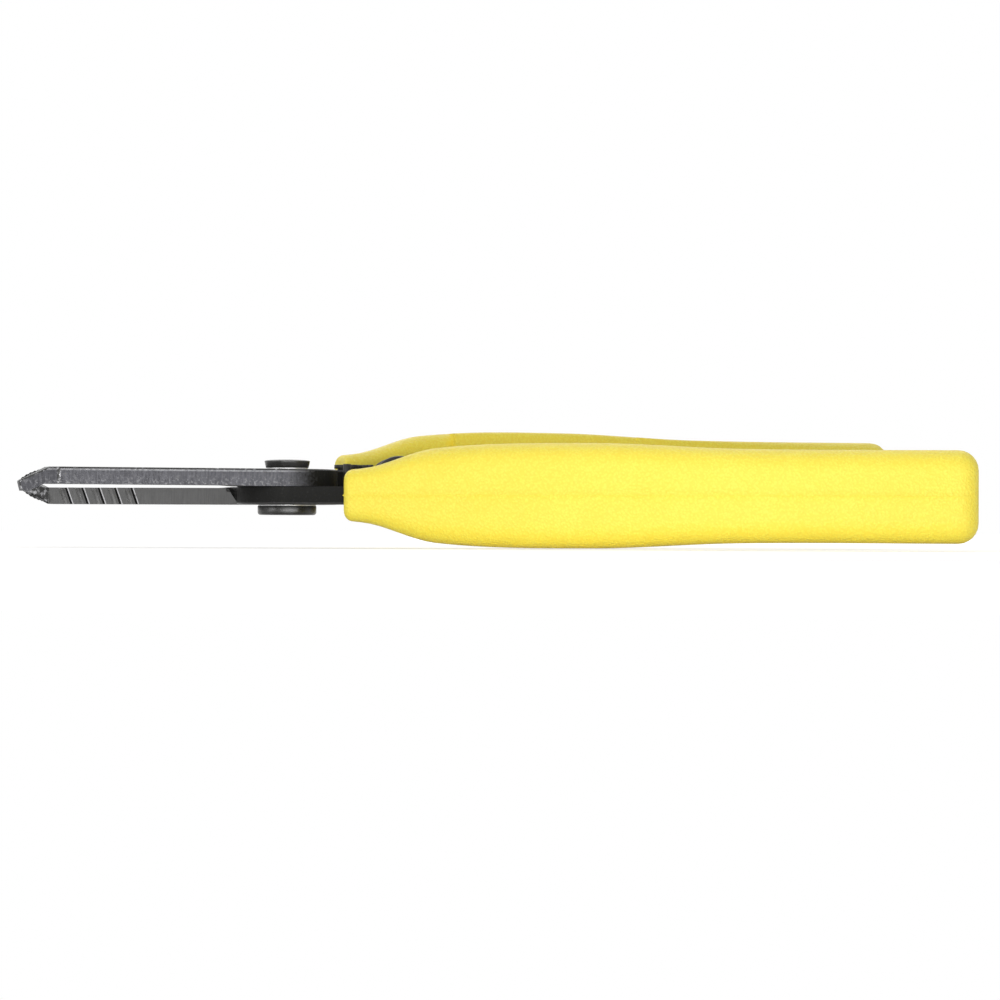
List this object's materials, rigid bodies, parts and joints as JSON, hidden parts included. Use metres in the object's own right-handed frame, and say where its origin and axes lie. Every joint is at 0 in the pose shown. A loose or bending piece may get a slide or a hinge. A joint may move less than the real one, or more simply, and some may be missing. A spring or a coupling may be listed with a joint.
{
  "type": "wire stripping pliers",
  "caption": "Plate-type wire-stripping pliers: crossed black levers with notched cutting jaws and plier nose, coil return spring, swing latch and yellow moulded grips.",
  "frame": {"origin": "on the pivot axis, at the flat outer face of the pivot screw's head", "axes": "+X from the pivot towards the grips, +Y towards the upper lever's grip, +Z along the pivot axis from screw head to nut"},
  "size_m": [0.1428, 0.073, 0.0185],
  "materials": {
    "plate_steel": "black oxide on stamped steel, ground bare on the cutting edges",
    "grip_plastic": "fine leather grain",
    "pivot_steel": "satin black oxide",
    "washer_steel": "bright",
    "spring_steel": "black spring wire"
  },
  "bodies": {
    "lower_half": {"lower_lever": "plate_steel", "lower_grip": "grip_plastic", "pivot_screw": "pivot_steel", "pivot_nut": "pivot_steel", "screw_washer": "washer_steel", "nut_washer": "washer_steel", "return_spring": "spring_steel", "catch_pin": "pivot_steel"},
    "upper_half": {"upper_lever": "plate_steel", "upper_grip": "grip_plastic", "latch_pin": "pivot_steel"},
    "latch": {"lock_latch": "plate_steel"}
  },
  "joints": [
    {"name": "lever_pivot", "type": "hinge", "parent": "lower_half", "child": "upper_half", "pos_m": [0, 0, 0.00434], "axis": [0, 0, -1], "range_deg": [0, 24], "stiffness_Nm_per_rad": 0.6, "deforming": ["return_spring"]},
    {"name": "latch_turn", "type": "hinge", "parent": "upper_half", "child": "latch", "pos_m": [0.00908, 0.00346, 0.0075], "axis": [0, 0, -1], "range_deg": [0, 70]}
  ]
}
